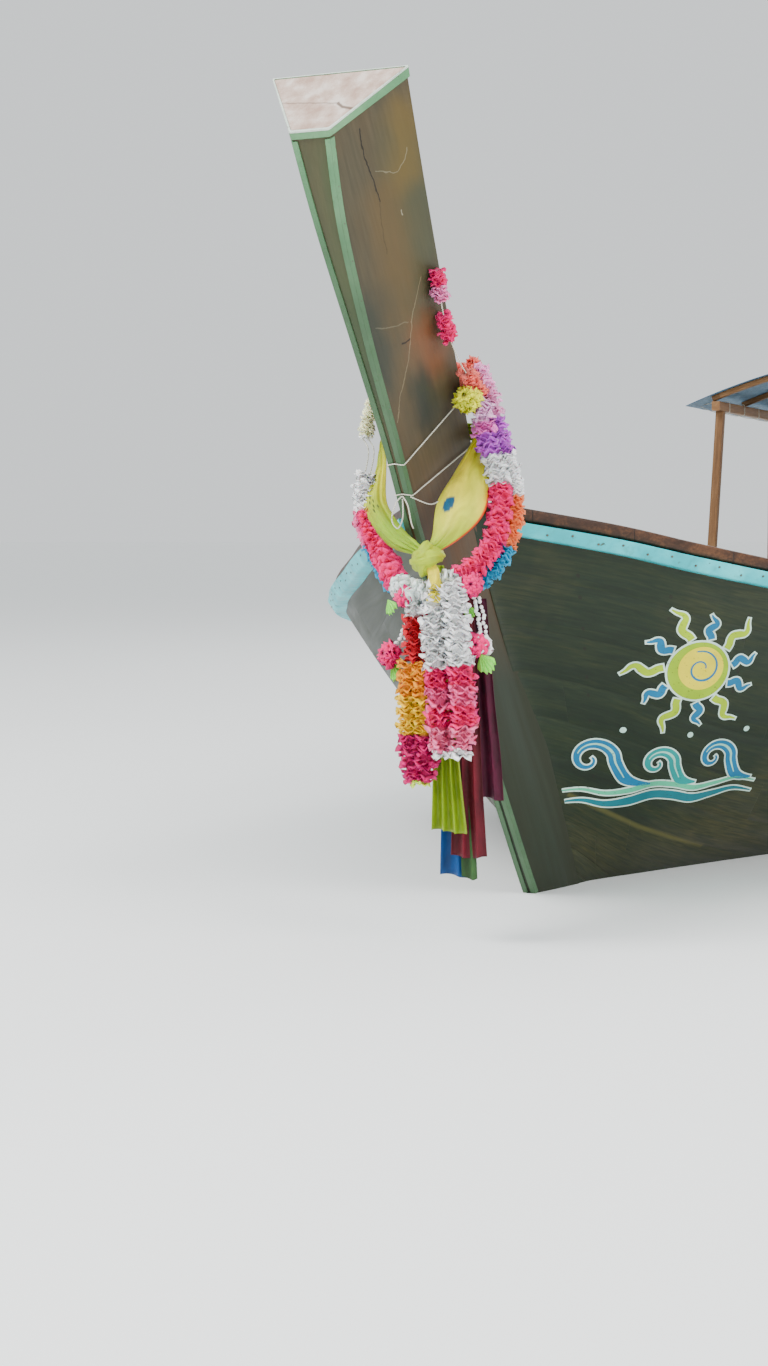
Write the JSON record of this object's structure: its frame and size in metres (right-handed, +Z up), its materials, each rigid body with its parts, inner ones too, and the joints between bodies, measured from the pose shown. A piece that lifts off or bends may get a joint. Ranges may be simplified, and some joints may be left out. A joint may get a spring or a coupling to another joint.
{
  "type": "longtail boat",
  "caption": "Wooden longtail boat with a tall garlanded prow, painted rub rails, short canopy, and an open engine on a swivel that drives a long tail shaft and screw.",
  "frame": {"origin": "on the centreline at the waterline, amidships", "axes": "+X towards the bow, +Y to port, +Z up"},
  "size_m": [14.8233, 2.5348, 2.678],
  "materials": {
    "stem_timber": "dark weathered varnish with pale green edge lines",
    "bottom_timber": "dull, wet and dark",
    "varnished_planks": "dark varnish, semi-gloss",
    "turquoise_paint": "gloss paint, nailed and scuffed",
    "cap_varnish": "red-brown varnish, worn pale on top",
    "inner_timber": "oiled, dull",
    "grey_board": "weathered grey",
    "deck_boards": "worn varnish",
    "bench_boards": "worn varnish",
    "canopy_timber": "varnish",
    "canopy_cloth": "blue woven sheeting, sun-bleached",
    "painted_steel": "grey paint, chipped",
    "engine_paint": "green engine paint, oily",
    "cast_alloy": "sand cast, dull",
    "rusty_steel": "heat-rusted",
    "black_paint": "satin black",
    "belt_rubber": "matt",
    "tail_steel": "galvanised, stained",
    "screw_bronze": "cast bronze, worn bright",
    "red_plastic": "moulded, faded",
    "black_plastic": "moulded",
    "scarf_cloth": "thin shiny cloth",
    "flower_petals": "artificial petals in pink, white, purple, yellow and lime",
    "maroon_cloth": "thin cloth",
    "blue_cloth": "thin cloth"
  },
  "bodies": {
    "hull": {"stem_and_prow": "stem_timber", "keel": "bottom_timber", "port_fore_garboard_planks": "bottom_timber", "port_middle_garboard_planks": "bottom_timber", "port_after_garboard_planks": "bottom_timber", "port_fore_bilge_planks": "varnished_planks", "port_middle_bilge_planks": "varnished_planks", "port_after_bilge_planks": "varnished_planks", "starboard_fore_garboard_planks": "bottom_timber", "starboard_middle_garboard_planks": "bottom_timber", "starboard_after_garboard_planks": "bottom_timber", "starboard_fore_bilge_planks": "varnished_planks", "starboard_middle_bilge_planks": "varnished_planks", "starboard_after_bilge_planks": "varnished_planks", "port_side_planks": "varnished_planks", "starboard_side_planks": "varnished_planks", "port_rub_rail": "turquoise_paint", "starboard_rub_rail": "turquoise_paint", "port_cap_rail": "cap_varnish", "starboard_cap_rail": "cap_varnish", "transom": "varnished_planks", "floors_and_keelson": "inner_timber", "breast_beam": "grey_board", "fore_deck": "deck_boards", "floor_boards": "deck_boards", "aft_deck": "deck_boards", "fore_benches": "bench_boards", "after_benches": "bench_boards", "port_canopy_frame": "canopy_timber", "starboard_canopy_frame": "canopy_timber", "canopy_bows": "canopy_timber", "canopy_cover": "canopy_cloth", "engine_bearer": "inner_timber", "swivel_socket": "painted_steel", "fuel_tank": "red_plastic", "battery_box": "black_plastic", "scarf": "scarf_cloth", "flower_loop": "flower_petals", "white_pink_strand": "flower_petals", "red_gold_strand": "flower_petals", "maroon_tail": "maroon_cloth", "blue_tail": "blue_cloth"},
    "swivel": {"swivel_fork": "painted_steel"},
    "engine": {"tilt_cradle": "painted_steel", "engine_block": "engine_paint", "cylinder_head": "cast_alloy", "exhaust_pipe": "rusty_steel", "air_intake": "black_paint", "alternator": "cast_alloy", "belt_drive": "belt_rubber", "bell_housing": "cast_alloy", "tail_tube": "tail_steel", "tiller_handle": "tail_steel"},
    "screw": {"propeller": "screw_bronze"}
  },
  "joints": [
    {"name": "engine_yaw", "type": "hinge", "parent": "hull", "child": "swivel", "pos_m": [-4.9, 0, 0.93], "axis": [0, 0, 1], "range_deg": [-60, 60]},
    {"name": "engine_tilt", "type": "hinge", "parent": "swivel", "child": "engine", "pos_m": [-4.9, 0, 1.32], "axis": [0, 1, 0], "range_deg": [-3, 20]},
    {"name": "propeller_spin", "type": "hinge", "parent": "engine", "child": "screw", "pos_m": [-8.70609, 0, -0.21776], "axis": [0.9272, 0, 0.3746], "continuous": true}
  ]
}
